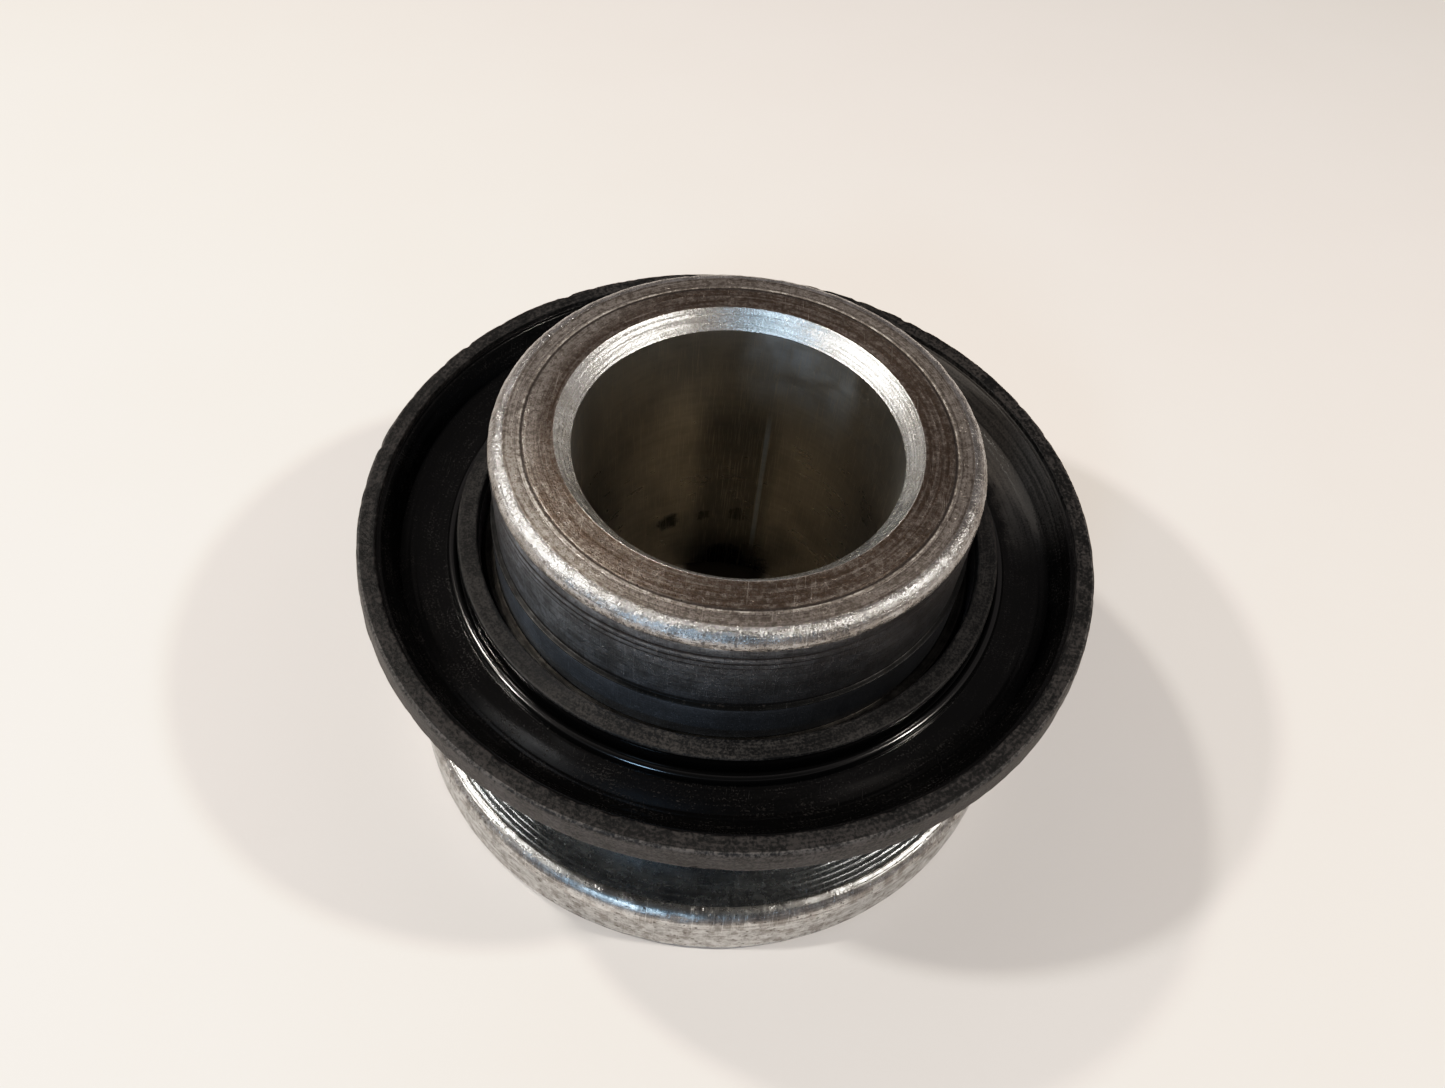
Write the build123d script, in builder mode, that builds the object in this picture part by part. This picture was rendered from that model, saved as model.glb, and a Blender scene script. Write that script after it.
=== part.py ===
from build123d import *
import os

os.makedirs("parts", exist_ok=True)

# Wheel-axle spacer collar with a dust seal pressed on beside its nose.
# Frame: the origin is the centre of the flange's resting face, and +Z runs along the bore
# towards the nose. Each profile is drawn in the XZ plane as (radius, height) and revolved
# about Z. All sizes are in millimetres.

# ---- Bore and overall height --------------------------------------------------------------
bore_radius = 12.5  # takes a 25 mm axle
overall_height = 33.3
mouth_chamfer_radial = 1.2  # lead-in at the nose end
mouth_chamfer_axial = 1.4
bore_foot_chamfer = 0.5  # at the flange end

# ---- Nose ---------------------------------------------------------------------------------
nose_radius = 18.5  # running surface for the hub's radial seal
nose_edge_round = 1.15
land_radius = 18.9  # slightly larger land below the running surface
land_top = 25.2

# ---- Seal seat, shoulder and flange -------------------------------------------------------
seat_radius = 20.0
seat_top = 21.3
seat_lead_radial = 0.35  # lead-in cone for pressing the seal on
seat_lead_axial = 1.0
shoulder_radius = 22.0
shoulder_top = 9.9  # the seal stops against this face
flange_radius = 27.0
flange_thickness = 5.9
flange_upper_round = 1.4
flange_lower_chamfer = 0.5

# ---- Steel case of the seal ---------------------------------------------------------------
seat_clearance = 0.05  # radial gap between the case and its seat
case_wall = 0.8
case_height = 12.4
case_foot_radius = 23.0
case_bend_radius = 0.6

# ---- Rubber of the seal: upright ring, groove and bead beside the nose --------------------
ring_radius = 21.65
ring_top = 23.3
ring_edge_round = 0.18
groove_floor = 21.3
bead_inner_radius = 21.75
bead_outer_radius = 22.6
bead_top = 21.85
bead_round = 0.4
bead_foot_height = 21.1

# ---- Rubber of the seal: cup-shaped lip ---------------------------------------------------
dish_edge_radius = 23.4  # inner edge of the cup's hollowed floor
dish_edge_height = 21.1
dish_radius = 24.4  # a circle on that floor
dish_height = 21.22
wall_foot_radius = 26.1  # where the floor turns up into the cup's wall
wall_foot_height = 22.0
step_radius = 27.3  # small step just inside the rim
step_height = 23.85
rim_inner_radius = 27.6
rim_outer_radius = 29.0
rim_top = 24.4
rim_edge_round = 0.25
rim_foot_radius = 29.25  # lower edge of the rim's slightly conical outer face
rim_foot_height = 22.5
knee_radius = 27.5  # underside of the lip
knee_height = 20.6
knee_round = 2.0
root_height = 19.0
root_round = 1.2

# ---- Rubber of the seal: sleeve over the case ---------------------------------------------
sleeve_radius = 22.3
foot_cover_radius = 23.7
foot_cover_height = 1.6
foot_cover_slope = 0.8

# ---- Worked-out sizes ---------------------------------------------------------------------
case_inner_radius = seat_radius + seat_clearance
case_outer_radius = case_inner_radius + case_wall
case_top = shoulder_top + case_height
foot_top = shoulder_top + case_wall
foot_cover_top = shoulder_top + foot_cover_height


def corner(radius, height):
    """The vertex of the sketch being drawn that lies at this radius and height."""
    return vertices().sort_by_distance((radius, height, 0))[0]


# ---- Spacer collar: one piece of turned steel ---------------------------------------------
with BuildPart() as spacer_collar:
    with BuildSketch(Plane.XZ):
        with BuildLine():
            Polyline(
                (bore_radius + mouth_chamfer_radial, overall_height),
                (nose_radius, overall_height),
                (nose_radius, land_top),
                (land_radius, land_top),
                (land_radius, seat_top),
                (seat_radius - seat_lead_radial, seat_top),
                (seat_radius, seat_top - seat_lead_axial),
                (seat_radius, shoulder_top),
                (shoulder_radius, shoulder_top),
                (shoulder_radius, flange_thickness),
                (flange_radius, flange_thickness),
                (flange_radius, flange_lower_chamfer),
                (flange_radius - flange_lower_chamfer, 0),
                (bore_radius + bore_foot_chamfer, 0),
                (bore_radius, bore_foot_chamfer),
                (bore_radius, overall_height - mouth_chamfer_axial),
                close=True,
            )
        make_face()
        fillet(corner(nose_radius, overall_height), nose_edge_round)
        fillet(corner(flange_radius, flange_thickness), flange_upper_round)
    revolve(axis=Axis.Z)

spacer_collar.part.label = "spacer_collar"
export_step(spacer_collar.part, "parts/spacer_collar.step")


# ---- Seal case: pressed steel sleeve with its foot turned outwards ------------------------
with BuildPart() as seal_case:
    with BuildSketch(Plane.XZ):
        with BuildLine():
            Polyline(
                (case_inner_radius, shoulder_top),
                (case_foot_radius, shoulder_top),
                (case_foot_radius, foot_top),
                (case_outer_radius, foot_top),
                (case_outer_radius, case_top),
                (case_inner_radius, case_top),
                close=True,
            )
        make_face()
        fillet(corner(case_outer_radius, foot_top), case_bend_radius)
    revolve(axis=Axis.Z)

seal_case.part.label = "seal_case"
export_step(seal_case.part, "parts/seal_case.step")


# ---- Dust seal: rubber bonded over the case, with a cup-shaped lip ------------------------
# The outline takes in the case and the rubber together, from the ring beside the nose out
# over the bead, the cup and the rim, back under the lip and down the sleeve to the foot.
# The case's own shape is then taken out of it.
with BuildPart() as dust_seal:
    with BuildSketch(Plane.XZ):
        with BuildLine():
            Polyline(
                (case_inner_radius, shoulder_top),
                (case_inner_radius, ring_top),
                (ring_radius, ring_top),
                (ring_radius, groove_floor),
                (bead_inner_radius, groove_floor),
                (bead_inner_radius, bead_top),
                (bead_outer_radius, bead_top),
                (bead_outer_radius, bead_foot_height),
                (dish_edge_radius, dish_edge_height),
            )
            ThreePointArc(
                (dish_edge_radius, dish_edge_height),
                (dish_radius, dish_height),
                (wall_foot_radius, wall_foot_height),
            )
            Polyline(
                (wall_foot_radius, wall_foot_height),
                (step_radius, step_height),
                (rim_inner_radius, step_height),
                (rim_inner_radius, rim_top),
                (rim_outer_radius, rim_top),
                (rim_foot_radius, rim_foot_height),
                (knee_radius, knee_height),
                (sleeve_radius, root_height),
                (sleeve_radius, foot_cover_top),
                (foot_cover_radius, foot_cover_top - foot_cover_slope),
                (foot_cover_radius, shoulder_top),
                (case_inner_radius, shoulder_top),
            )
        make_face()
        fillet(corner(case_inner_radius, ring_top), ring_edge_round)
        fillet(corner(ring_radius, ring_top), ring_edge_round)
        fillet(corner(bead_inner_radius, bead_top), bead_round)
        fillet(corner(bead_outer_radius, bead_top), bead_round)
        fillet(corner(rim_outer_radius, rim_top), rim_edge_round)
        fillet(corner(rim_foot_radius, rim_foot_height), rim_edge_round)
        fillet(corner(knee_radius, knee_height), knee_round)
        fillet(corner(sleeve_radius, root_height), root_round)
    revolve(axis=Axis.Z)
    add(seal_case.part, mode=Mode.SUBTRACT)

dust_seal.part.label = "dust_seal"
export_step(dust_seal.part, "parts/dust_seal.step")
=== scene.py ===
"""The looks of an axle spacer collar and its dust seal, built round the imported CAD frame."""

import math

import bpy
import numpy as np
from mathutils import Euler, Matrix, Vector


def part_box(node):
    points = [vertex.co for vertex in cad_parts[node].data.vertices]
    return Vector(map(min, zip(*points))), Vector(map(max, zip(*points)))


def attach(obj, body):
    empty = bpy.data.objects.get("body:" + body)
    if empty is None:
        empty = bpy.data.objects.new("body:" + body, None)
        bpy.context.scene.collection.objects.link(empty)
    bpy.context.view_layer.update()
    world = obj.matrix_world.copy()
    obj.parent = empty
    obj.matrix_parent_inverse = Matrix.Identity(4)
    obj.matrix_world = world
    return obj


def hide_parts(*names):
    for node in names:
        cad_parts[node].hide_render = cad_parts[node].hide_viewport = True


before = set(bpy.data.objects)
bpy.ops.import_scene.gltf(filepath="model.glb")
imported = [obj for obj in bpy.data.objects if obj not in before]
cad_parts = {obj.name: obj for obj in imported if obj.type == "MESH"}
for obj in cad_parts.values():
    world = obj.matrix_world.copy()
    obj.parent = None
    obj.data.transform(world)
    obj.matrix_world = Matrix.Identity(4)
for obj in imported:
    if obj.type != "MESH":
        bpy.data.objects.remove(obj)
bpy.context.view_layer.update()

MM = 0.001
SEGMENTS = 360  # facets round the axis
ARC_STEP = 0.11  # greatest spacing of points on a rounded corner
TURN = 2 * math.pi

# ---- Sizes read from the frame, in millimetres ---------------------------------------------
collar_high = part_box("spacer_collar")[1]
case_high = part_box("seal_case")[1]
seal_low, seal_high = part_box("dust_seal")

overall_height = collar_high.z / MM
flange_radius = collar_high.x / MM
shoulder_top = seal_low.z / MM
rim_top = seal_high.z / MM
case_top = case_high.z / MM
case_foot_radius = case_high.x / MM

# ---- Sizes of the collar, in millimetres ---------------------------------------------------
bore_radius = 12.5
mouth_radial = 1.2
mouth_axial = 1.4
bore_foot_chamfer = 0.5
nose_radius = 18.5
nose_edge_round = 1.15
land_radius = 18.9
land_top = 25.2
seat_radius = 20.0
seat_top = 21.3
seat_lead_radial = 0.35
seat_lead_axial = 1.0
shoulder_radius = 22.0
flange_thickness = 5.9
flange_upper_round = 1.4
flange_lower_chamfer = 0.5
flange_hollow = 0.01  # by which the face's inner part, without coarse turning marks, is lower

# ---- Marks on the collar: turns in degrees from +X, sizes in millimetres --------------------
contact_mark_radius = 16.03  # left by the bearing's inner ring
outer_mark_radius = contact_mark_radius + 0.42
fretting_worn = (166.0, 36.0)  # turn and half-width of the place where the fretting has worn off
wear_tracks = ((31.15, 0.20), (30.45, 0.15), (29.9, 0.10))  # height, half-width: the hub seal's lip
painted_reflection_right = (-8.0, 68.0)  # painted dark reflection on the nose's sides: turn and half-width
painted_reflection_left = (180.0, 30.0)
ridge_start = 22.7  # coarse turning marks on the flange, from this radius outwards
ridge_pitch = 0.44
ridge_gap_turn = 268.0  # in front the turning marks are worn away
ridge_gap_half_width = 30.0
bore_foot_dark_patch = (91.0, 0.4, 4.6)  # a dark patch at the foot of the bore, and on the floor below it: turn, height and size
grease_spots = ((119.0, 8.0, 1.4), (102.0, 8.2, 1.0), (87.0, 8.5, 1.3))
painted_reflection_band = (91.0, 15.0)  # a painted dark reflection in the bore, above the dark patch: turn and half-width
bore_scratch = (79.0, 1.0)
# A painted sheen of the window's light, high in the bore: turn and half-width.
painted_window_sheen = (68.0, 24.0)
painted_shadow_edge_radius = bore_radius + 1.5  # of the painted shadow on the floor seen down the bore

# ---- Sizes of the seal, in millimetres -----------------------------------------------------
case_inner_radius = 20.05
case_outer_radius = 20.85
foot_top = shoulder_top + 0.8
ring_radius = 21.65
ring_top = 23.3
groove_floor = 21.3
bead_inner_radius = 21.75
bead_outer_radius = 22.6
bead_top = 21.85
bead_round = 0.4
bead_foot_height = 21.1
dish_edge_radius = 23.4
dish_edge_height = 21.1
dish_round = 4.2  # rounding of the cup's floor, whose flanks would meet at this radius and height
dish_radius = 24.89
dish_height = 21.12
wall_foot_radius = 26.1
wall_foot_height = 22.0
step_radius = 27.3
step_height = 23.85
rim_inner_radius = 27.6
rim_outer_radius = 29.0
rim_foot_radius = 29.25
rim_foot_height = 22.5
knee_radius = 27.5
knee_height = 20.6
root_height = 19.0
sleeve_radius = 22.3
foot_cover_radius = 23.7
foot_cover_top = shoulder_top + 1.6
foot_cover_slope = 0.8
cup_dust_painted_lit = (38.0, 28.0, 23.6)  # dust painted lighter where lamp light falls, a painted lit patch: turn, half-width and inner radius


# ---- Outlines ------------------------------------------------------------------------------
def rounded_outline(corners):
    """A closed outline with rounded corners, as points, and the zone of each stretch.

    A corner is (radius, height, rounding, zone of the rounding, zone of the run that follows,
    greatest spacing on that run). The outline runs clockwise, with the solid on its right.
    """
    count = len(corners)
    arcs = []
    for i, (radius, height, rounding, *_) in enumerate(corners):
        here = np.array((radius, height))
        back = np.array(corners[i - 1][:2]) - here
        ahead = np.array(corners[(i + 1) % count][:2]) - here
        back /= np.linalg.norm(back)
        ahead /= np.linalg.norm(ahead)
        half = math.acos(np.clip(back @ ahead, -1, 1)) / 2
        reach = rounding / math.tan(half)
        middle = (back + ahead) / np.linalg.norm(back + ahead)
        centre = here + middle * rounding / math.sin(half)
        start = here + back * reach - centre
        end = here + ahead * reach - centre
        first = math.atan2(start[1], start[0])
        sweep = math.atan2(end[1], end[0]) - first
        sweep = (sweep + math.pi) % TURN - math.pi
        steps = max(3, math.ceil(abs(sweep) * rounding / ARC_STEP))
        angles = first + sweep * np.arange(steps + 1) / steps
        arcs.append(centre + rounding * np.stack([np.cos(angles), np.sin(angles)], 1))
    points = []
    zones = []
    for i, (_, _, _, arc_zone, run_zone, spacing) in enumerate(corners):
        arc = arcs[i]
        points.extend(arc[:-1])
        zones.extend([arc_zone] * (len(arc) - 1))
        run = arcs[(i + 1) % count][0] - arc[-1]
        steps = max(1, math.ceil(np.linalg.norm(run) / spacing))
        points.extend(arc[-1] + run * (k / steps) for k in range(steps))
        zones.extend([run_zone] * steps)
    return np.array(points), zones


def outline_normals(points):
    """The outward normal at each point of a closed clockwise outline."""
    along = np.roll(points, -1, 0) - np.roll(points, 1, 0)
    along /= np.linalg.norm(along, axis=1, keepdims=True)
    return np.stack([-along[:, 1], along[:, 0]], 1)


# ---- Surface relief ------------------------------------------------------------------------
angles_round = np.arange(SEGMENTS) * TURN / SEGMENTS


def ease(t):
    return t * t * (3 - 2 * t)


def soft_noise(seed, along, across, cells):
    """Smooth noise from -1 to 1: periodic round the axis, free across it.

    along is the turn, from 0 to 1; across is in cells; cells is how many fit round the axis.
    """
    across = across - across.min()
    rows = int(across.max()) + 3
    grid = np.random.default_rng(seed).uniform(-1, 1, (rows, cells))
    u = (along % 1.0) * cells
    i = np.floor(u).astype(int)
    j = np.floor(across).astype(int)
    fu = ease(u - i)
    fv = ease(across - j)
    near = grid[j, i % cells] * (1 - fu) + grid[j, (i + 1) % cells] * fu
    far = grid[j + 1, i % cells] * (1 - fu) + grid[j + 1, (i + 1) % cells] * fu
    return near * (1 - fv) + far * fv


def groove(position, centre, width, depth):
    """A rounded groove across one direction, negative where it cuts in."""
    return -depth * np.exp(-(((position - centre) / width) ** 2))


def nick(radius, height, turn, place, size, depth):
    """A dent at place (radius, height, turn in degrees); size is its radius in millimetres."""
    arc = (turn * 360 - place[2] + 180) % 360 - 180
    away = (np.radians(arc) * place[0]) ** 2 + (radius - place[0]) ** 2 + (height - place[1]) ** 2
    return -depth * np.exp(-away / size**2)


# ---- Meshes --------------------------------------------------------------------------------
def lathe(name, corners, relief, materials):
    """Revolves an outline about Z and moves it along its normals.

    relief takes (radius, height, turn, zone) and gives the distance; materials are by zone.
    """
    points, zones = rounded_outline(corners)
    normals = outline_normals(points)
    count = len(points)
    radius = np.repeat(points[:, :1], SEGMENTS, 1)
    height = np.repeat(points[:, 1:], SEGMENTS, 1)
    turn = np.repeat(angles_round[None] / TURN, count, 0)
    zone_grid = np.repeat(np.array(zones)[:, None], SEGMENTS, 1)
    raised = relief(radius, height, turn, zone_grid)
    radius = radius + raised * normals[:, :1]
    height = height + raised * normals[:, 1:]
    co = np.stack([radius * np.cos(angles_round), radius * np.sin(angles_round), height], 2) * MM

    i, j = np.meshgrid(np.arange(count), np.arange(SEGMENTS), indexing="ij")
    i_next = (i + 1) % count
    j_next = (j + 1) % SEGMENTS
    faces = np.stack(
        [
            i * SEGMENTS + j,
            i_next * SEGMENTS + j,
            i_next * SEGMENTS + j_next,
            i * SEGMENTS + j_next,
        ],
        2,
    ).reshape(-1, 4)

    mesh = bpy.data.meshes.new(name)
    mesh.vertices.add(count * SEGMENTS)
    mesh.vertices.foreach_set("co", co.astype(np.float32).ravel())
    mesh.loops.add(faces.size)
    mesh.loops.foreach_set("vertex_index", faces.ravel())
    mesh.polygons.add(len(faces))
    mesh.polygons.foreach_set("loop_start", np.arange(len(faces)) * 4)
    names = list(materials)
    for material in materials.values():
        mesh.materials.append(material)
    slots = np.array([names.index(zone) for zone in zones])
    mesh.polygons.foreach_set("material_index", np.repeat(slots, SEGMENTS))
    mesh.update(calc_edges=True)
    mesh.validate()
    mesh.shade_smooth()
    piece = bpy.data.objects.new(name, mesh)
    bpy.context.scene.collection.objects.link(piece)
    return piece


# ---- Material nodes ------------------------------------------------------------------------
def connect(tree, socket, value):
    """Feeds a node's input from another node's output, or sets it to a plain value."""
    if isinstance(value, bpy.types.NodeSocket):
        tree.links.new(value, socket)
    else:
        socket.default_value = value


def calculate(tree, operation, *values):
    node = tree.nodes.new("ShaderNodeMath")
    node.operation = operation
    for socket, value in zip(node.inputs, values):
        connect(tree, socket, value)
    return node.outputs[0]


def multiply(tree, *values):
    product = values[0]
    for value in values[1:]:
        product = calculate(tree, "MULTIPLY", product, value)
    return product


def greatest(tree, *values):
    result = values[0]
    for value in values[1:]:
        result = calculate(tree, "MAXIMUM", result, value)
    return result


def mixed(tree, *weighted):
    """A weighted sum of values: each argument is (value, weight)."""
    total = None
    for value, weight in weighted:
        part = multiply(tree, value, weight)
        total = part if total is None else calculate(tree, "ADD", total, part)
    return total


def spread(tree, value, low, high, to_low=0.0, to_high=1.0):
    """Maps a value from one range to another, clamped and eased at both ends."""
    node = tree.nodes.new("ShaderNodeMapRange")
    node.interpolation_type = "SMOOTHSTEP"
    for socket, number in zip(node.inputs[:5], (value, low, high, to_low, to_high)):
        connect(tree, socket, number)
    return node.outputs[0]


def blend_colours(tree, amount, first, second):
    node = tree.nodes.new("ShaderNodeMix")
    node.data_type = "RGBA"
    connect(tree, node.inputs[0], amount)
    connect(tree, node.inputs[6], first)
    connect(tree, node.inputs[7], second)
    return node.outputs[2]


def ring_coordinates(tree):
    """The object's own coordinates in millimetres: position, radius, height and direction."""
    texture = tree.nodes.new("ShaderNodeTexCoord")
    scale = tree.nodes.new("ShaderNodeVectorMath")
    scale.operation = "SCALE"
    scale.inputs["Scale"].default_value = 1 / MM
    tree.links.new(texture.outputs["Object"], scale.inputs[0])
    split = tree.nodes.new("ShaderNodeSeparateXYZ")
    tree.links.new(scale.outputs[0], split.inputs[0])
    x, y, height = split.outputs
    squares = calculate(tree, "ADD", multiply(tree, x, x), multiply(tree, y, y))
    radius = calculate(tree, "SQRT", squares)
    return {
        "position": scale.outputs[0],
        "radius": radius,
        "height": height,
        "cosine": calculate(tree, "DIVIDE", x, radius),
        "sine": calculate(tree, "DIVIDE", y, radius),
    }


def turned_noise(tree, ring, pitch, round_cells, detail=2.0):
    """Noise drawn out round the axis, as turning marks are; pitch is their spacing."""
    vector = tree.nodes.new("ShaderNodeCombineXYZ")
    connect(tree, vector.inputs[0], multiply(tree, ring["cosine"], round_cells))
    connect(tree, vector.inputs[1], multiply(tree, ring["sine"], round_cells))
    connect(tree, vector.inputs[2], calculate(tree, "DIVIDE", ring["radius"], pitch))
    node = tree.nodes.new("ShaderNodeTexNoise")
    node.noise_dimensions = "4D"
    tree.links.new(vector.outputs[0], node.inputs["Vector"])
    connect(tree, node.inputs["W"], calculate(tree, "DIVIDE", ring["height"], pitch))
    node.inputs["Scale"].default_value = 1.0
    node.inputs["Detail"].default_value = detail
    return node.outputs[0]


def even_noise(tree, ring, size, detail=3.0, roughness=0.55):
    """Noise without a direction; size is that of its coarsest grains."""
    node = tree.nodes.new("ShaderNodeTexNoise")
    tree.links.new(ring["position"], node.inputs["Vector"])
    node.inputs["Scale"].default_value = 1 / size
    node.inputs["Detail"].default_value = detail
    node.inputs["Roughness"].default_value = roughness
    return node.outputs[0]


def scratches(tree, ring, turn, width, length, share):
    """Thin straight lines at this angle about Z and half as much about X, as a mask."""
    mapping = tree.nodes.new("ShaderNodeMapping")
    mapping.inputs["Rotation"].default_value = (math.radians(turn / 2), 0, math.radians(turn))
    mapping.inputs["Scale"].default_value = (1 / width, 1 / length, 1 / length)
    tree.links.new(ring["position"], mapping.inputs["Vector"])
    node = tree.nodes.new("ShaderNodeTexNoise")
    tree.links.new(mapping.outputs[0], node.inputs["Vector"])
    node.inputs["Scale"].default_value = 1.0
    node.inputs["Detail"].default_value = 1.0
    edge = 0.76 - 0.25 * share
    return spread(tree, node.outputs[0], edge, edge + 0.05)


def specks(tree, ring, size, share):
    """Small round spots scattered over the surface, as a mask; size is their spacing."""
    node = tree.nodes.new("ShaderNodeTexVoronoi")
    tree.links.new(ring["position"], node.inputs["Vector"])
    node.inputs["Scale"].default_value = 1 / size
    reach = multiply(tree, node.outputs["Color"], share)
    outside = calculate(tree, "SUBTRACT", node.outputs["Distance"], reach)
    return spread(tree, outside, -0.1, 0.1, 1.0, 0.0)


def lines_at(tree, coordinate, *places):
    """Narrow lines where a coordinate has these values: each place is (value, half-width)."""
    mask = 0.0
    for centre, width in places:
        away = calculate(tree, "ABSOLUTE", calculate(tree, "SUBTRACT", coordinate, centre))
        mask = greatest(tree, mask, spread(tree, away, 0.3 * width, 1.2 * width, 1.0, 0.0))
    return mask


def band(tree, ring, turn, half_width):
    """A soft band along the axis on the side at this turn; both are in degrees."""
    angle = math.radians(turn)
    towards = mixed(tree, (ring["cosine"], math.cos(angle)), (ring["sine"], math.sin(angle)))
    edge = math.cos(math.radians(1.4 * half_width))
    return spread(tree, towards, edge, math.cos(math.radians(0.5 * half_width)))


def spot(tree, ring, radius, turn, height, size, ragged=0.6, soft=0.4):
    """A stain round a place on the surface, as a mask. On average it reaches 1.15 sizes out."""
    away = tree.nodes.new("ShaderNodeVectorMath")
    away.operation = "DISTANCE"
    angle = math.radians(turn)
    away.inputs[1].default_value = (radius * math.cos(angle), radius * math.sin(angle), height)
    tree.links.new(ring["position"], away.inputs[0])
    wander = even_noise(tree, ring, size, detail=4.0, roughness=0.65)
    total = mixed(tree, (away.outputs["Value"], 1 / size), (wander, 2 * ragged))
    edge = 1.15 + ragged
    return spread(tree, total, edge - soft, edge, 1.0, 0.0)


def add_bump(tree, shader, height, distance):
    """Gives the shader relief of up to this many millimetres."""
    node = tree.nodes.new("ShaderNodeBump")
    node.inputs["Strength"].default_value = 1.0
    node.inputs["Distance"].default_value = distance * MM
    tree.links.new(height, node.inputs["Height"])
    tree.links.new(node.outputs[0], shader.inputs["Normal"])


def new_material(name):
    """A material, its node tree, its shader and the tree's ring coordinates."""
    material = bpy.data.materials.new(name)
    material.use_nodes = True
    tree = material.node_tree
    return material, tree, tree.nodes["Principled BSDF"], ring_coordinates(tree)


# ---- Steel ---------------------------------------------------------------------------------
def patches_of(size, low, high, mark_share=0.25):
    """Stain in patches of this size, drawn out a little round the axis."""

    def stain(tree, ring):
        patches = even_noise(tree, ring, size, detail=5.0, roughness=0.62)
        marks = turned_noise(tree, ring, 0.16, 2.5, detail=3.0)
        return spread(tree, mixed(tree, (patches, 1 - mark_share), (marks, mark_share)), low, high)

    return stain


def fretting(tree, ring):
    """Brown fretting, inside the circle where the bearing's inner ring has pressed."""
    wander = even_noise(tree, ring, 0.9, detail=4.0, roughness=0.65)
    edge = mixed(tree, (ring["radius"], 1.0), (wander, 0.5))
    limit = contact_mark_radius + 0.02
    inside = spread(tree, edge, limit, limit + 0.28, 1.0, 0.45)
    fine = even_noise(tree, ring, 0.5, detail=8.0, roughness=0.85)
    rings = turned_noise(tree, ring, 0.20, 3.0, detail=5.0)
    rubbed = spread(tree, mixed(tree, (fine, 0.6), (rings, 0.4)), 0.44, 0.60, 1.0, 0.50)
    outer = spread(tree, ring["radius"], 14.2, 15.6)
    worn = multiply(tree, band(tree, ring, *fretting_worn), outer, 0.65)
    return multiply(tree, inside, rubbed, calculate(tree, "SUBTRACT", 1.0, worn))


def bore_stains_and_painted_shade(tree, ring):
    """Marks in the bore: a dark patch at the bottom, three grease spots, and above the patch a
    painted dark reflection, strongest low down.
    """
    stain = spot(tree, ring, bore_radius, *bore_foot_dark_patch, soft=0.8)
    for place in grease_spots:
        grease = spot(tree, ring, bore_radius, *place, ragged=1.0, soft=0.7)
        stain = greatest(tree, stain, multiply(tree, grease, 0.85))
    lower = spread(tree, ring["height"], 20.0, 27.0, 0.6, 0.0)
    shade = multiply(tree, band(tree, ring, *painted_reflection_band), lower)
    haze = spread(tree, even_noise(tree, ring, 7.0, detail=2.0), 0.45, 0.72, 0.0, 0.2)
    return greatest(tree, stain, shade, haze)


def bore_scratch_and_painted_sheen(tree, ring):
    """A bright scratch along the bore, and a painted sheen of pale, bluish light towards its mouth.
    """
    below = spread(tree, ring["height"], 19.0, 25.0, 1.0, 0.0)
    above = spread(tree, ring["height"], 2.5, 8.0, 0.0, 0.5)
    scratch = multiply(tree, band(tree, ring, *bore_scratch), below, above)
    upper = spread(tree, ring["height"], 18.0, 33.0, 0.0, 0.2)
    high = spread(tree, ring["height"], 20.0, 31.0)
    uneven = spread(tree, even_noise(tree, ring, 3.0), 0.35, 0.60, 0.45, 0.65)
    sheen = multiply(tree, band(tree, ring, *painted_window_sheen), high, uneven)
    return greatest(tree, scratch, upper, sheen)


def end_face_lines(tree, ring):
    """The dark edge of the bearing's contact mark, and two fainter circles outside it."""
    circles = (outer_mark_radius, 0.06), (contact_mark_radius + 1.2, 0.08)
    faint = multiply(tree, lines_at(tree, ring["radius"], *circles), 0.5)
    return greatest(tree, lines_at(tree, ring["radius"], (contact_mark_radius - 0.02, 0.14)), faint)


def contact_ring(tree, ring):
    """The bright burnished circle just outside the contact mark's dark edge."""
    burnished = lines_at(tree, ring["radius"], (contact_mark_radius + 0.17, 0.09))
    uneven = spread(tree, even_noise(tree, ring, 1.4), 0.38, 0.60, 0.2, 0.9)
    return multiply(tree, burnished, uneven)


def flange_ridges(tree, ring):
    """The coarse turning marks near the flange's edge, broken up round the axis."""
    radii = np.arange(ridge_start, flange_radius - 0.4, ridge_pitch)
    marks = lines_at(tree, ring["radius"], *[(radius, 0.10) for radius in radii])
    broken = spread(tree, turned_noise(tree, ring, 0.4, 5.0), 0.35, 0.6, 0.35, 1.0)
    gap = band(tree, ring, ridge_gap_turn, ridge_gap_half_width)
    return multiply(tree, marks, broken, spread(tree, gap, 0.0, 1.0, 1.0, 0.0))


def painted_dark_reflection(tree, ring):
    """A painted dark reflection on the nose's sides, widest on the right."""
    dark_reflections = greatest(tree, band(tree, ring, *painted_reflection_right), band(tree, ring, *painted_reflection_left))
    return multiply(tree, dark_reflections, 0.95)


def nose_lines(tree, ring):
    """Dark tracks worn by the lip of the hub's seal, painted shade just above the step, and the
    painted dark reflection on the sides.
    """
    # The wear tracks are real; the line just above the step is painted shade.
    tracks = lines_at(tree, ring["height"], *wear_tracks, (land_top + 0.1, 0.3))
    return greatest(tree, tracks, painted_dark_reflection(tree, ring))


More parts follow.
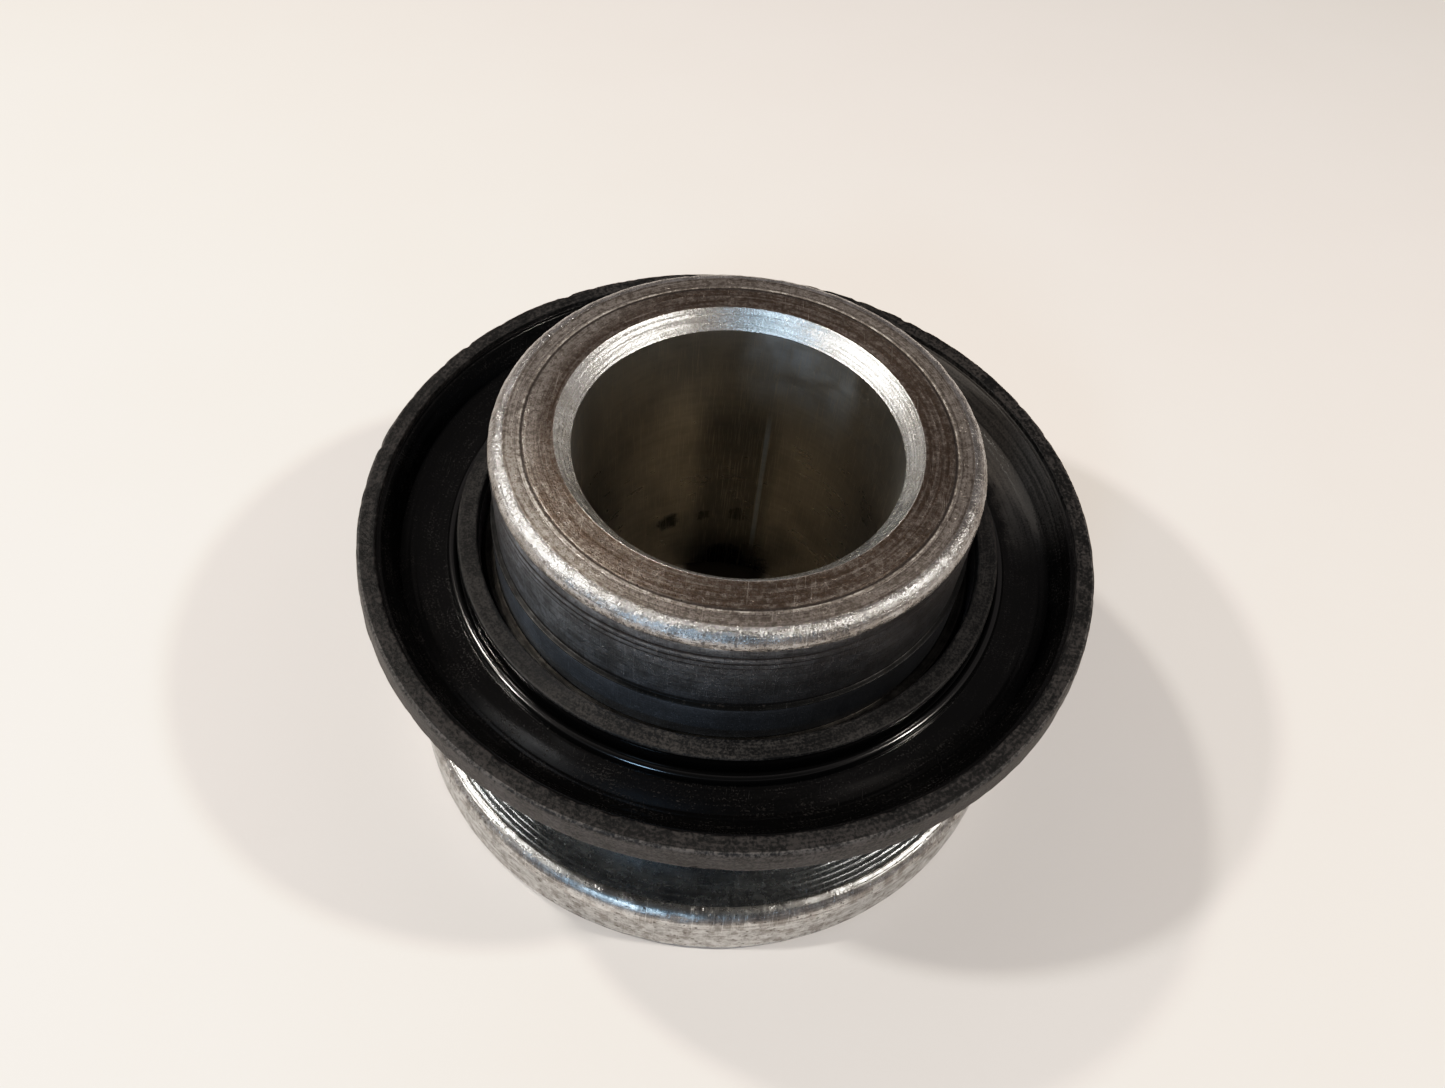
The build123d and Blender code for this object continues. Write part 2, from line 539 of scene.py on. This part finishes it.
def steel(
    name,
    clean,
    stained,
    roughness,
    stain=patches_of(2.0, 0.42, 0.62),
    speck_size=0.5,
    speck_share=0.25,
    scratch_share=0.3,
    mark_pitch=0.16,
    mark_height=0.006,
    pit_size=0.35,
    pit_height=0.006,
    mottle=0.5,
    anisotropy=0.5,
    dark_lines=None,
    ridges=None,
    bright=None,
    bright_colour=(0.40, 0.43, 0.47),
):
    """Turned steel: clean and stained colours, dark pits, turning marks and bright scratches.

    stain, dark_lines, ridges and bright take (tree, ring) and give a mask.
    """
    material, tree, shader, ring = new_material(name)
    marks = turned_noise(tree, ring, mark_pitch, 2.5, detail=3.0)
    pits = even_noise(tree, ring, pit_size, detail=4.0, roughness=0.65)
    tone = even_noise(tree, ring, pit_size * 3.1, detail=5.0, roughness=0.7)
    holes = specks(tree, ring, speck_size, speck_share)
    fine = scratches(tree, ring, 37.0, 0.05, 2.6, scratch_share)
    coarse = scratches(tree, ring, -64.0, 0.08, 4.0, scratch_share)
    lines = greatest(tree, fine, coarse)

    # Dark colour of the pits and of the dark lines, which on the nose and land are partly painted
    # shade.
    pit_and_painted_shade_colour = (0.06, 0.05, 0.045, 1)
    colour = blend_colours(tree, stain(tree, ring), (*clean, 1), (*stained, 1))
    # The bright mask: real scratches and burnish, and in the bore also a painted sheen.
    rubbed = bright(tree, ring) if bright else 0.0
    colour = blend_colours(tree, rubbed, colour, (*bright_colour, 1))
    shade = mixed(tree, (tone, 0.5), (marks, 0.3), (pits, 0.2))
    shade = spread(tree, shade, 0.43, 0.57, 0.0, mottle)
    colour = blend_colours(tree, shade, colour, (*[0.45 * part for part in stained], 1))
    colour = blend_colours(tree, multiply(tree, holes, 0.6), colour, pit_and_painted_shade_colour)
    brighter = [min(1.0, 1.35 * part) for part in clean]
    colour = blend_colours(tree, multiply(tree, lines, 0.4), colour, (*brighter, 1))
    # Dark lines: real wear marks, and on the nose and land also a painted dark reflection.
    if dark_lines:
        marked = multiply(tree, dark_lines(tree, ring), 0.85)
        colour = blend_colours(tree, marked, colour, pit_and_painted_shade_colour)
    tree.links.new(colour, shader.inputs["Base Color"])

    grain = mixed(tree, (tone, 0.4), (marks, 0.3), (pits, 0.3))
    grain = spread(tree, grain, 0.35, 0.65, *roughness)
    rough = mixed(tree, (grain, 1.0), (holes, 0.25), (rubbed, 0.25))
    tree.links.new(rough, shader.inputs["Roughness"])
    shader.inputs["Metallic"].default_value = 1.0
    shader.inputs["Anisotropic"].default_value = anisotropy
    shader.inputs["Anisotropic Rotation"].default_value = 0.25
    tangent = tree.nodes.new("ShaderNodeTangent")
    tangent.direction_type = "RADIAL"
    tangent.axis = "Z"
    tree.links.new(tangent.outputs[0], shader.inputs["Tangent"])
    relief = mixed(tree, (marks, mark_height), (pits, pit_height), (holes, -0.012), (lines, -0.004))
    if ridges:
        relief = calculate(tree, "ADD", relief, multiply(tree, ridges(tree, ring), 0.06))
    add_bump(tree, shader, relief, 1.0)
    return material


def collar_materials():
    """One steel per zone of the collar, from the bright mouth to the stained end face."""
    return {
        "end_face": steel(
            "steel_end_face", (0.66, 0.62, 0.57), (0.150, 0.112, 0.086), (0.24, 0.42),
            stain=fretting, mark_pitch=0.10, mark_height=0.016, pit_size=0.13, pit_height=0.030,
            speck_size=0.24, speck_share=0.35, scratch_share=0.12, mottle=0.75,
            dark_lines=end_face_lines, bright=contact_ring, bright_colour=(0.80, 0.75, 0.68),
        ),
        "mouth": steel(
            "steel_mouth", (0.95, 0.94, 0.91), (0.74, 0.72, 0.68), (0.20, 0.33),
            mark_pitch=0.09, mark_height=0.022, pit_size=0.14, pit_height=0.030, anisotropy=0.4,
            speck_share=0.12, scratch_share=0.1, mottle=0.35,
        ),
        "nose_edge": steel(
            "steel_nose_edge", (0.58, 0.57, 0.56), (0.33, 0.315, 0.30), (0.17, 0.34),
            pit_size=0.20, pit_height=0.060, mark_height=0.004, anisotropy=0.1,
            speck_size=0.36, speck_share=0.4, mottle=0.6,
        ),
        "nose_wall": steel(
            "steel_nose_wall", (0.52, 0.56, 0.62), (0.30, 0.315, 0.34), (0.38, 0.50),
            stain=patches_of(1.6, 0.42, 0.60), pit_size=0.18, mark_height=0.004, pit_height=0.009,
            anisotropy=0.1, speck_size=0.26, speck_share=0.35, mottle=0.6, dark_lines=nose_lines,
        ),
        # The step's near-black colour is a painted dark reflection of the rubber below it.
        "step": steel("steel_step_painted_shade", (0.03, 0.03, 0.03), (0.02, 0.02, 0.02), (0.40, 0.55)),
        # The land's blue tint is a painted reflection of the blue window; its dark lines are a
        # painted dark reflection.
        "land": steel(
            "steel_land", (0.51, 0.57, 0.66), (0.37, 0.41, 0.47), (0.36, 0.50),
            pit_size=0.14, pit_height=0.012, anisotropy=0.1, speck_size=0.22, speck_share=0.3,
            mottle=0.4, dark_lines=painted_dark_reflection,
        ),
        # The seat lead's near-black colour is painted shade, in the gap between the nose and the
        # seal.
        "seat_lead": steel(
            "steel_seat_lead_painted_shade", (0.035, 0.033, 0.030), (0.015, 0.014, 0.013), (0.45, 0.6),
        ),
        "hidden": steel(
            "steel_ground", (0.50, 0.50, 0.49), (0.36, 0.35, 0.34), (0.20, 0.34), anisotropy=0.6,
        ),
        "flange_face": steel(
            "steel_flange_face", (0.46, 0.49, 0.51), (0.30, 0.32, 0.33), (0.20, 0.32),
            mark_pitch=0.30, mark_height=0.003, pit_height=0.001, anisotropy=0.2, speck_share=0.1,
            scratch_share=0.1, mottle=0.25, ridges=flange_ridges,
        ),
        "flange_edge": steel(
            "steel_flange_edge", (0.58, 0.58, 0.57), (0.32, 0.31, 0.30), (0.22, 0.38),
            stain=patches_of(1.1, 0.42, 0.60), pit_size=0.28, pit_height=0.022,
            anisotropy=0.1, speck_size=0.42, speck_share=0.3, mottle=0.6, ridges=flange_ridges,
        ),
        "flange_side": steel(
            "steel_flange_side", (0.56, 0.56, 0.55), (0.26, 0.25, 0.24), (0.34, 0.50),
            stain=patches_of(1.0, 0.44, 0.60, mark_share=0.1), pit_size=0.26, mark_height=0.002,
            pit_height=0.018, anisotropy=0.1, speck_size=0.55, speck_share=0.30, mottle=0.45,
        ),
        # The bore's pale blue bright colour is a painted sheen besides the real scratch; its stains
        # include a painted dark reflection.
        "bore": steel(
            "steel_bore", (0.53, 0.49, 0.42), (0.030, 0.022, 0.015), (0.26, 0.34),
            stain=bore_stains_and_painted_shade, mark_pitch=0.5, mark_height=0.0005, pit_size=2.2, pit_height=0.0015,
            anisotropy=0.1, speck_share=0.05, scratch_share=0.5, mottle=0.12,
            bright=bore_scratch_and_painted_sheen, bright_colour=(0.70, 0.80, 0.92),
        ),
    }


def dents(radius, height, turn, seed, count, ring_radius, ring_height, sizes, depths):
    """Dents scattered along one circle of the surface."""
    chance = np.random.default_rng(seed)
    raised = np.zeros_like(radius)
    for _ in range(count):
        place = (ring_radius, ring_height, chance.uniform(0, 360))
        raised += nick(radius, height, turn, place, chance.uniform(*sizes), chance.uniform(*depths))
    return raised


def collar_relief(radius, height, turn, zone):
    """Turning ridges, the bearing's contact mark, the hub seal's wear tracks and edge dents."""
    raised = np.zeros_like(radius)
    end_face = (zone == "end_face") | (zone == "nose_edge")
    rings = soft_noise(11, turn * 0, radius / 0.22, 4) * 0.006
    raised += np.where(end_face & (radius < nose_radius - 0.9), rings, 0)
    raised += np.where(end_face, groove(radius, contact_mark_radius, 0.10, 0.050), 0)
    raised += np.where(end_face, groove(radius, outer_mark_radius, 0.07, 0.018), 0)
    ridges = soft_noise(16, turn, height / 0.085, 14) * 0.016
    ridges += soft_noise(17, turn, height / 0.16, 5) * 0.012
    raised += np.where(zone == "mouth", ridges, 0)
    worn = soft_noise(12, turn, (radius + height) / 0.32, 330) * 0.016
    worn += soft_noise(18, turn, (radius + height) / 0.9, 90) * 0.020
    raised += np.where(zone == "nose_edge", worn, 0)
    edge = (nose_radius - 0.4, overall_height - 0.3)
    knocks = dents(radius, height, turn, 31, 26, *edge, (0.15, 0.40), (0.02, 0.07))
    raised += np.where(end_face, knocks, 0)
    nose = zone == "nose_wall"
    for centre, width in wear_tracks:
        raised += np.where(nose, groove(height, centre, width, 0.35 * width), 0)
    face = (zone == "flange_face") | (zone == "flange_edge")
    face &= height > flange_thickness - flange_upper_round
    outside_gap = np.clip(np.abs(turn * 360 - ridge_gap_turn) / 22 - 0.6, 0, 1)
    for ridge in np.arange(ridge_start, flange_radius - 0.5, ridge_pitch):
        broken = 0.55 + 0.45 * soft_noise(int(ridge * 100), turn, radius * 0, 40)
        broken *= outside_gap
        raised += np.where(face, -groove(radius, ridge, 0.09, 0.05) * broken, 0)
    side = (zone == "flange_side") | (zone == "flange_edge")
    raised += np.where(side, soft_noise(14, turn, height / 0.8, 180) * 0.018, 0)
    raised += np.where(side, soft_noise(15, turn, height / 0.35, 380) * 0.008, 0)
    edge = (flange_radius - 0.3, flange_thickness - 0.5)
    knocks = dents(radius, height, turn, 32, 30, *edge, (0.2, 0.5), (0.03, 0.10))
    raised += np.where(side, knocks, 0)
    return raised


def build_collar():
    hollow_face = flange_thickness - flange_hollow
    corners = [
        (bore_radius + mouth_radial, overall_height, 0.06, "mouth", "end_face", 0.11),
        (nose_radius, overall_height, nose_edge_round, "nose_edge", "nose_wall", 0.26),
        (nose_radius, land_top, 0.08, "step", "step", 0.1),
        (land_radius, land_top, 0.06, "step", "land", 0.5),
        (land_radius, seat_top, 0.08, "seat_lead", "seat_lead", 0.4),
        (seat_radius - seat_lead_radial, seat_top, 0.08, "seat_lead", "seat_lead", 0.4),
        (seat_radius, seat_top - seat_lead_axial, 0.15, "seat_lead", "hidden", 3.0),
        (seat_radius, shoulder_top, 0.12, "hidden", "hidden", 1.0),
        (shoulder_radius, shoulder_top, 0.15, "hidden", "hidden", 1.4),
        (shoulder_radius, hollow_face, 0.25, "flange_face", "flange_face", 0.4),
        (ridge_start - 0.2, hollow_face, 0.01, "flange_face", "flange_face", 0.08),
        (flange_radius, flange_thickness, flange_upper_round, "flange_edge", "flange_side", 0.35),
        (flange_radius, flange_lower_chamfer, 0.2, "flange_edge", "flange_edge", 0.3),
        (flange_radius - flange_lower_chamfer, 0.0, 0.1, "flange_edge", "hidden", 2.0),
        (bore_radius + bore_foot_chamfer, 0.0, 0.05, "bore", "bore", 0.4),
        (bore_radius, bore_foot_chamfer, 0.08, "bore", "bore", 4.0),
        (bore_radius, overall_height - mouth_axial, 0.10, "mouth", "mouth", 0.055),
    ]
    collar = lathe("collar_turned", corners, collar_relief, collar_materials())
    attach(collar, "collar")
    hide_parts("spacer_collar")
    return collar


# ---- Rubber --------------------------------------------------------------------------------
def rubber(
    name,
    roughness,
    dust_colour,
    dust_range,
    grain=0.006,
    streak=0.004,
    black=0.006,
    specular=0.4,
    grain_size=0.16,
    painted_lit_dust=None,
):
    """Black rubber, with dust in patches and streaks round the axis, and a fine moulded grain.

    The last argument is dust painted lighter where lamp light falls, a painted lit patch: its turn
    and half-width in degrees, and its inner radius.
    """
    material, tree, shader, ring = new_material(name)
    patches = even_noise(tree, ring, 2.4, detail=5.0, roughness=0.65)
    grains = even_noise(tree, ring, grain_size, detail=3.0, roughness=0.65)
    streaks = turned_noise(tree, ring, 0.22, 3.0, detail=4.0)
    lint = scratches(tree, ring, 28.0, 0.05, 1.6, 0.08)
    amount = spread(tree, mixed(tree, (patches, 0.25), (grains, 0.5), (streaks, 0.25)), *dust_range)
    motes = multiply(tree, specks(tree, ring, 0.35, 0.12), 0.4)
    amount = greatest(tree, amount, motes, multiply(tree, lint, 0.7))
    colour = blend_colours(tree, amount, (black, 0.97 * black, black, 1), (*dust_colour, 1))
    # A painted lit patch: dust on the cup's wall, painted lighter where lamp light falls on it.
    if painted_lit_dust:
        turn, half_width, inner = painted_lit_dust
        uneven_radius = mixed(tree, (ring["radius"], 1.0), (patches, 2.4))
        outer = spread(tree, uneven_radius, inner + 0.6, inner + 1.8)
        grit = spread(tree, mixed(tree, (streaks, 0.5), (grains, 0.5)), 0.38, 0.62, 0.35, 1.0)
        rubbed = multiply(tree, band(tree, ring, turn, half_width), outer, grit)
        colour = blend_colours(tree, rubbed, colour, (0.065, 0.060, 0.056, 1))
        amount = greatest(tree, amount, rubbed)
    tree.links.new(colour, shader.inputs["Base Color"])
    tree.links.new(spread(tree, amount, 0.0, 1.0, *roughness), shader.inputs["Roughness"])
    shader.inputs["Specular IOR Level"].default_value = specular
    add_bump(tree, shader, mixed(tree, (grains, grain), (streaks, streak)), 1.0)
    return material


def seal_materials():
    return {
        "ring_top": rubber(
            "rubber_ring_top", (0.45, 0.75), (0.034, 0.031, 0.029), (0.44, 0.60),
            grain=0.02, black=0.003, specular=0.2,
        ),
        "gloss": rubber(
            "rubber_gloss", (0.15, 0.30), (0.006, 0.005, 0.005), (0.60, 0.8),
            grain=0.001, streak=0.001, black=0.002, specular=0.6,
        ),
        "cup": rubber(
            "rubber_cup", (0.18, 0.75), (0.020, 0.018, 0.017), (0.50, 0.72),
            grain=0.003, streak=0.001, black=0.0015, specular=0.2, painted_lit_dust=cup_dust_painted_lit,
        ),
        "rim": rubber(
            "rubber_rim", (0.50, 0.8), (0.028, 0.025, 0.024), (0.46, 0.58),
            grain=0.08, grain_size=0.24, streak=0.006, black=0.001, specular=0.2,
        ),
        "rim_side": rubber(
            "rubber_rim_side", (0.5, 0.8), (0.080, 0.074, 0.071), (0.44, 0.58),
            grain=0.08, grain_size=0.24, specular=0.3,
        ),
        "under": rubber(
            "rubber_under", (0.4, 0.75), (0.022, 0.020, 0.018), (0.42, 0.7), black=0.004
        ),
    }


def seal_relief(radius, height, turn, zone):
    """A slightly uneven lip, mould lines, and a rim with small nicks."""
    raised = np.zeros_like(radius)
    rim = (zone == "rim") | (zone == "rim_side")
    raised += np.where(rim, soft_noise(21, turn, (radius + height) / 0.5, 260) * 0.022, 0)
    raised += np.where(rim, soft_noise(22, turn, height / 1.5, 40) * 0.03, 0)
    edges = (
        (41, 70, rim_outer_radius, rim_top),
        (42, 60, rim_inner_radius, rim_top),
        (43, 40, rim_foot_radius, rim_foot_height),
    )
    for seed, count, ring, level in edges:
        marks = dents(radius, height, turn, seed, count, ring, level, (0.12, 0.35), (0.05, 0.16))
        raised += np.where(rim, marks, 0)
    cup = zone == "cup"
    mould_lines = soft_noise(23, turn * 0, radius / 0.22, 4) * 0.010
    raised += np.where(cup & (radius > 24.5), mould_lines, 0)
    raised += np.where(cup, soft_noise(24, turn, radius / 1.2, 60) * 0.012, 0)
    return raised


def build_seal():
    corners = [
        (case_inner_radius, ring_top, 0.18, "ring_top", "ring_top", 0.15),
        (ring_radius, ring_top, 0.18, "ring_top", "gloss", 0.4),
        (ring_radius, groove_floor, 0.03, "gloss", "gloss", 0.1),
        (bead_inner_radius, groove_floor, 0.03, "gloss", "gloss", 0.2),
        (bead_inner_radius, bead_top, bead_round, "gloss", "gloss", 0.1),
        (bead_outer_radius, bead_top, bead_round, "gloss", "gloss", 0.1),
        (bead_outer_radius, bead_foot_height, 0.06, "cup", "cup", 0.15),
        (dish_edge_radius, dish_edge_height, 0.3, "cup", "cup", 0.12),
        (dish_radius, dish_height, dish_round, "cup", "cup", 0.12),
        (wall_foot_radius, wall_foot_height, 0.4, "cup", "cup", 0.12),
        (step_radius, step_height, 0.10, "cup", "cup", 0.1),
        (rim_inner_radius, step_height, 0.06, "cup", "rim", 0.1),
        (rim_inner_radius, rim_top, 0.12, "rim", "rim", 0.15),
        (rim_outer_radius, rim_top, 0.25, "rim_side", "rim_side", 0.2),
        (rim_foot_radius, rim_foot_height, 0.25, "rim_side", "under", 0.25),
        (knee_radius, knee_height, 2.0, "under", "under", 0.4),
        (sleeve_radius, root_height, 1.2, "under", "under", 0.8),
        (sleeve_radius, foot_cover_top, 0.2, "under", "under", 0.3),
        (foot_cover_radius, foot_cover_top - foot_cover_slope, 0.2, "under", "under", 0.3),
        (foot_cover_radius, shoulder_top, 0.15, "under", "under", 0.3),
        (case_foot_radius, shoulder_top, 0.02, "under", "under", 0.3),
        (case_foot_radius, foot_top, 0.02, "under", "under", 0.6),
        (case_outer_radius, foot_top, 0.5, "under", "under", 1.5),
        (case_outer_radius, case_top, 0.02, "under", "under", 0.4),
        (case_inner_radius, case_top, 0.02, "under", "ring_top", 0.4),
    ]
    seal = lathe("seal_rubber", corners, seal_relief, seal_materials())
    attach(seal, "seal")
    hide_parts("dust_seal")
    return seal


def build_case():
    """The case keeps its CAD shape and gets a satin pressed-steel finish."""
    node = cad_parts["seal_case"]
    node.data.materials.clear()
    satin = steel("steel_case", (0.46, 0.46, 0.45), (0.32, 0.31, 0.30), (0.28, 0.42))
    node.data.materials.append(satin)


# ---- Camera --------------------------------------------------------------------------------
def add_camera():
    """Looks down on the nose from the front, from a hand's breadth away."""
    data = bpy.data.cameras.new("camera")
    data.sensor_width = 36.0
    data.lens = 28.15
    data.clip_start = 0.001
    camera = bpy.data.objects.new("camera", data)
    camera.location = (0.0, -0.05799, 0.09358)
    angles = (37.89, -4.084, 5.617)
    camera.rotation_euler = Euler([math.radians(angle) for angle in angles], "XYZ")
    bpy.context.scene.collection.objects.link(camera)
    bpy.context.scene.camera = camera


# ---- Floor and light -----------------------------------------------------------------------
def add_floor():
    """A pale table, with a painted shadow and a darker patch seen down the bore."""
    half = 0.9
    corners = [(-half, -half, 0), (half, -half, 0), (half, half, 0), (-half, half, 0)]
    mesh = bpy.data.meshes.new("floor")
    mesh.from_pydata(corners, [], [(0, 1, 2, 3)])
    floor = bpy.data.objects.new("floor", mesh)
    bpy.context.scene.collection.objects.link(floor)
    material, tree, shader, ring = new_material("pale_table")
    cloud = even_noise(tree, ring, 25.0, detail=4.0)
    grain = even_noise(tree, ring, 0.6, detail=2.0)
    amount = mixed(tree, (cloud, 0.8), (grain, 0.2))
    colour = blend_colours(tree, amount, (0.88, 0.80, 0.735, 1), (0.92, 0.85, 0.795, 1))
    # Painted shadow on the floor under the bore, and a darker patch within it.
    bore_floor_shadow = spread(tree, ring["radius"], painted_shadow_edge_radius, painted_shadow_edge_radius + 0.5, 1.0, 0.0)
    colour = blend_colours(tree, bore_floor_shadow, colour, (0.34, 0.31, 0.26, 1))
    floor_dark_patch = multiply(tree, spot(tree, ring, bore_radius, *bore_foot_dark_patch, ragged=0.5), bore_floor_shadow)
    colour = blend_colours(tree, floor_dark_patch, colour, (0.02, 0.015, 0.010, 1))
    tree.links.new(colour, shader.inputs["Base Color"])
    shader.inputs["Roughness"].default_value = 0.55
    shader.inputs["Specular IOR Level"].default_value = 0.3
    add_bump(tree, shader, grain, 0.01)
    mesh.materials.append(material)


def add_lamp(name, position, diameter, power, colour):
    """A round soft lamp at a place in metres, aimed at the middle of the object."""
    data = bpy.data.lights.new(name, "AREA")
    data.shape = "DISK"
    data.size = diameter
    data.energy = power
    data.color = colour
    lamp = bpy.data.objects.new(name, data)
    lamp.location = position
    aim = Vector((0, 0, 0.02)) - Vector(position)
    lamp.rotation_euler = aim.to_track_quat("-Z", "Y").to_euler()
    bpy.context.scene.collection.objects.link(lamp)


def add_room():
    """An even, dim room, darker where the photographer leans over the object."""
    world = bpy.data.worlds.new("room")
    world.use_nodes = True
    tree = world.node_tree
    texture = tree.nodes.new("ShaderNodeTexCoord")
    towards = tree.nodes.new("ShaderNodeVectorMath")
    towards.operation = "DOT_PRODUCT"
    towards.inputs[1].default_value = Vector((0.0, -0.45, 0.89)).normalized()
    tree.links.new(texture.outputs["Generated"], towards.inputs[0])
    amount = spread(tree, towards.outputs["Value"], 0.75, 0.95)
    colour = blend_colours(tree, amount, (0.275, 0.25, 0.243, 1), (0.04, 0.04, 0.04, 1))
    background = tree.nodes["Background"]
    tree.links.new(colour, background.inputs["Color"])
    background.inputs["Strength"].default_value = 1.0
    bpy.context.scene.world = world


def add_light():
    """Three lamps above, which throw the shadows, and a blue window in front."""
    add_lamp("lamp_right", (0.267, -0.029, 0.334), 0.03, 1.00, (1.0, 0.93, 0.84))
    add_lamp("lamp_left", (-0.313, -0.067, 0.334), 0.03, 1.25, (1.0, 0.96, 0.89))
    add_lamp("lamp_back_left", (-0.207, 0.087, 0.334), 0.03, 0.72, (1.0, 0.93, 0.84))
    add_lamp("window_front", (-0.19, -0.53, 0.36), 0.11, 0.95, (0.46, 0.72, 1.0))
    add_room()


def set_exposure():
    """Bends the highlights over as a camera does, so that the floor keeps its tone."""
    settings = bpy.context.scene.view_settings
    settings.view_transform = "Standard"
    settings.use_curve_mapping = True
    mapping = settings.curve_mapping
    brightest = 2.0
    mapping.white_level = (brightest, brightest, brightest)
    tones = (  # light, and the tone that shows it
        (0.03, 0.022),
        (0.12, 0.11),
        (0.30, 0.30),
        (0.60, 0.54),
        (0.95, 0.74),
        (1.35, 0.905),
    )
    points = mapping.curves[3].points
    for light, shown in tones:
        points.new(light / brightest, shown)
    mapping.update()


add_camera()
add_floor()
add_light()
build_collar()
build_seal()
build_case()
set_exposure()
